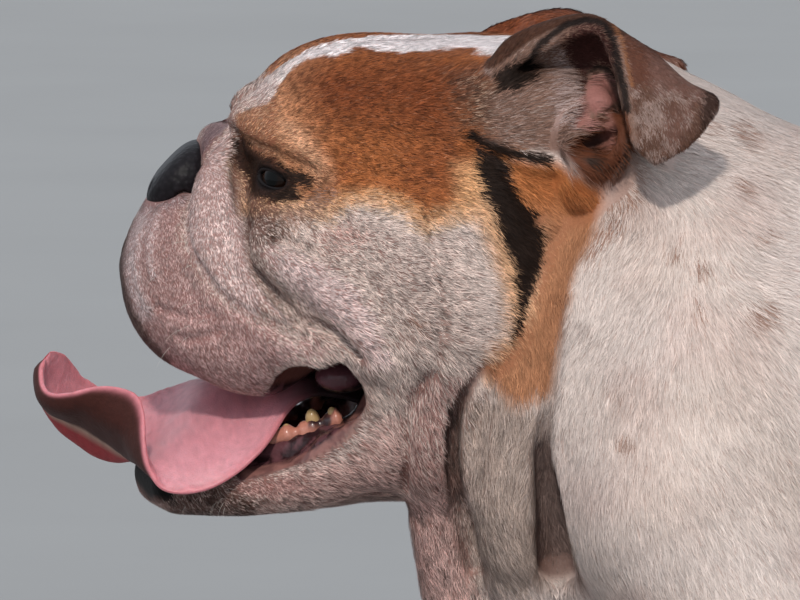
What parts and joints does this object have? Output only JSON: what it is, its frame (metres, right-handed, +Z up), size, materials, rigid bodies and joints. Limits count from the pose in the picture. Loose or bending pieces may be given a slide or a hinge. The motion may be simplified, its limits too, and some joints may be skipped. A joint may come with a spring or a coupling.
{
  "type": "english bulldog",
  "caption": "Standing english bulldog, life size and still, with an open mouth, a curled tongue, folded rose ears, hanging lips and heavy neck folds.",
  "frame": {"origin": "on the floor under the middle of the animal's bounding box", "axes": "+X from nose to tail, -Y towards the animal's left side, +Z up"},
  "size_m": [0.6778, 0.3018, 0.4405],
  "materials": {
    "coat_white": "short smooth white hair with pink skin showing through",
    "coat_tan": "short smooth red-tan hair with black tips",
    "bare_skin": "soft thinly haired pink skin with dark lips",
    "nose_leather": "pebbled, moist and black",
    "tongue": "wet, finely bumped pink",
    "eye": "wet, dark brown",
    "claw": "smooth dark horn",
    "teeth": "smooth yellowed enamel",
    "whiskers": "stiff pale hair"
  },
  "bodies": {
    "root": {"head": "coat_tan", "lower_jaw": "bare_skin", "nose": "nose_leather", "tongue": "tongue", "eye_left": "eye", "eye_right": "eye", "ear_left": "coat_tan", "ear_right": "coat_tan", "neck": "coat_white", "torso": "coat_white", "tail": "coat_white", "foreleg_left": "coat_white", "foreleg_right": "coat_white", "hindleg_left": "coat_white", "hindleg_right": "coat_white", "forepaw_left": "coat_white", "forepaw_right": "coat_white", "hindpaw_left": "coat_white", "hindpaw_right": "coat_white"}
  },
  "joints": []
}
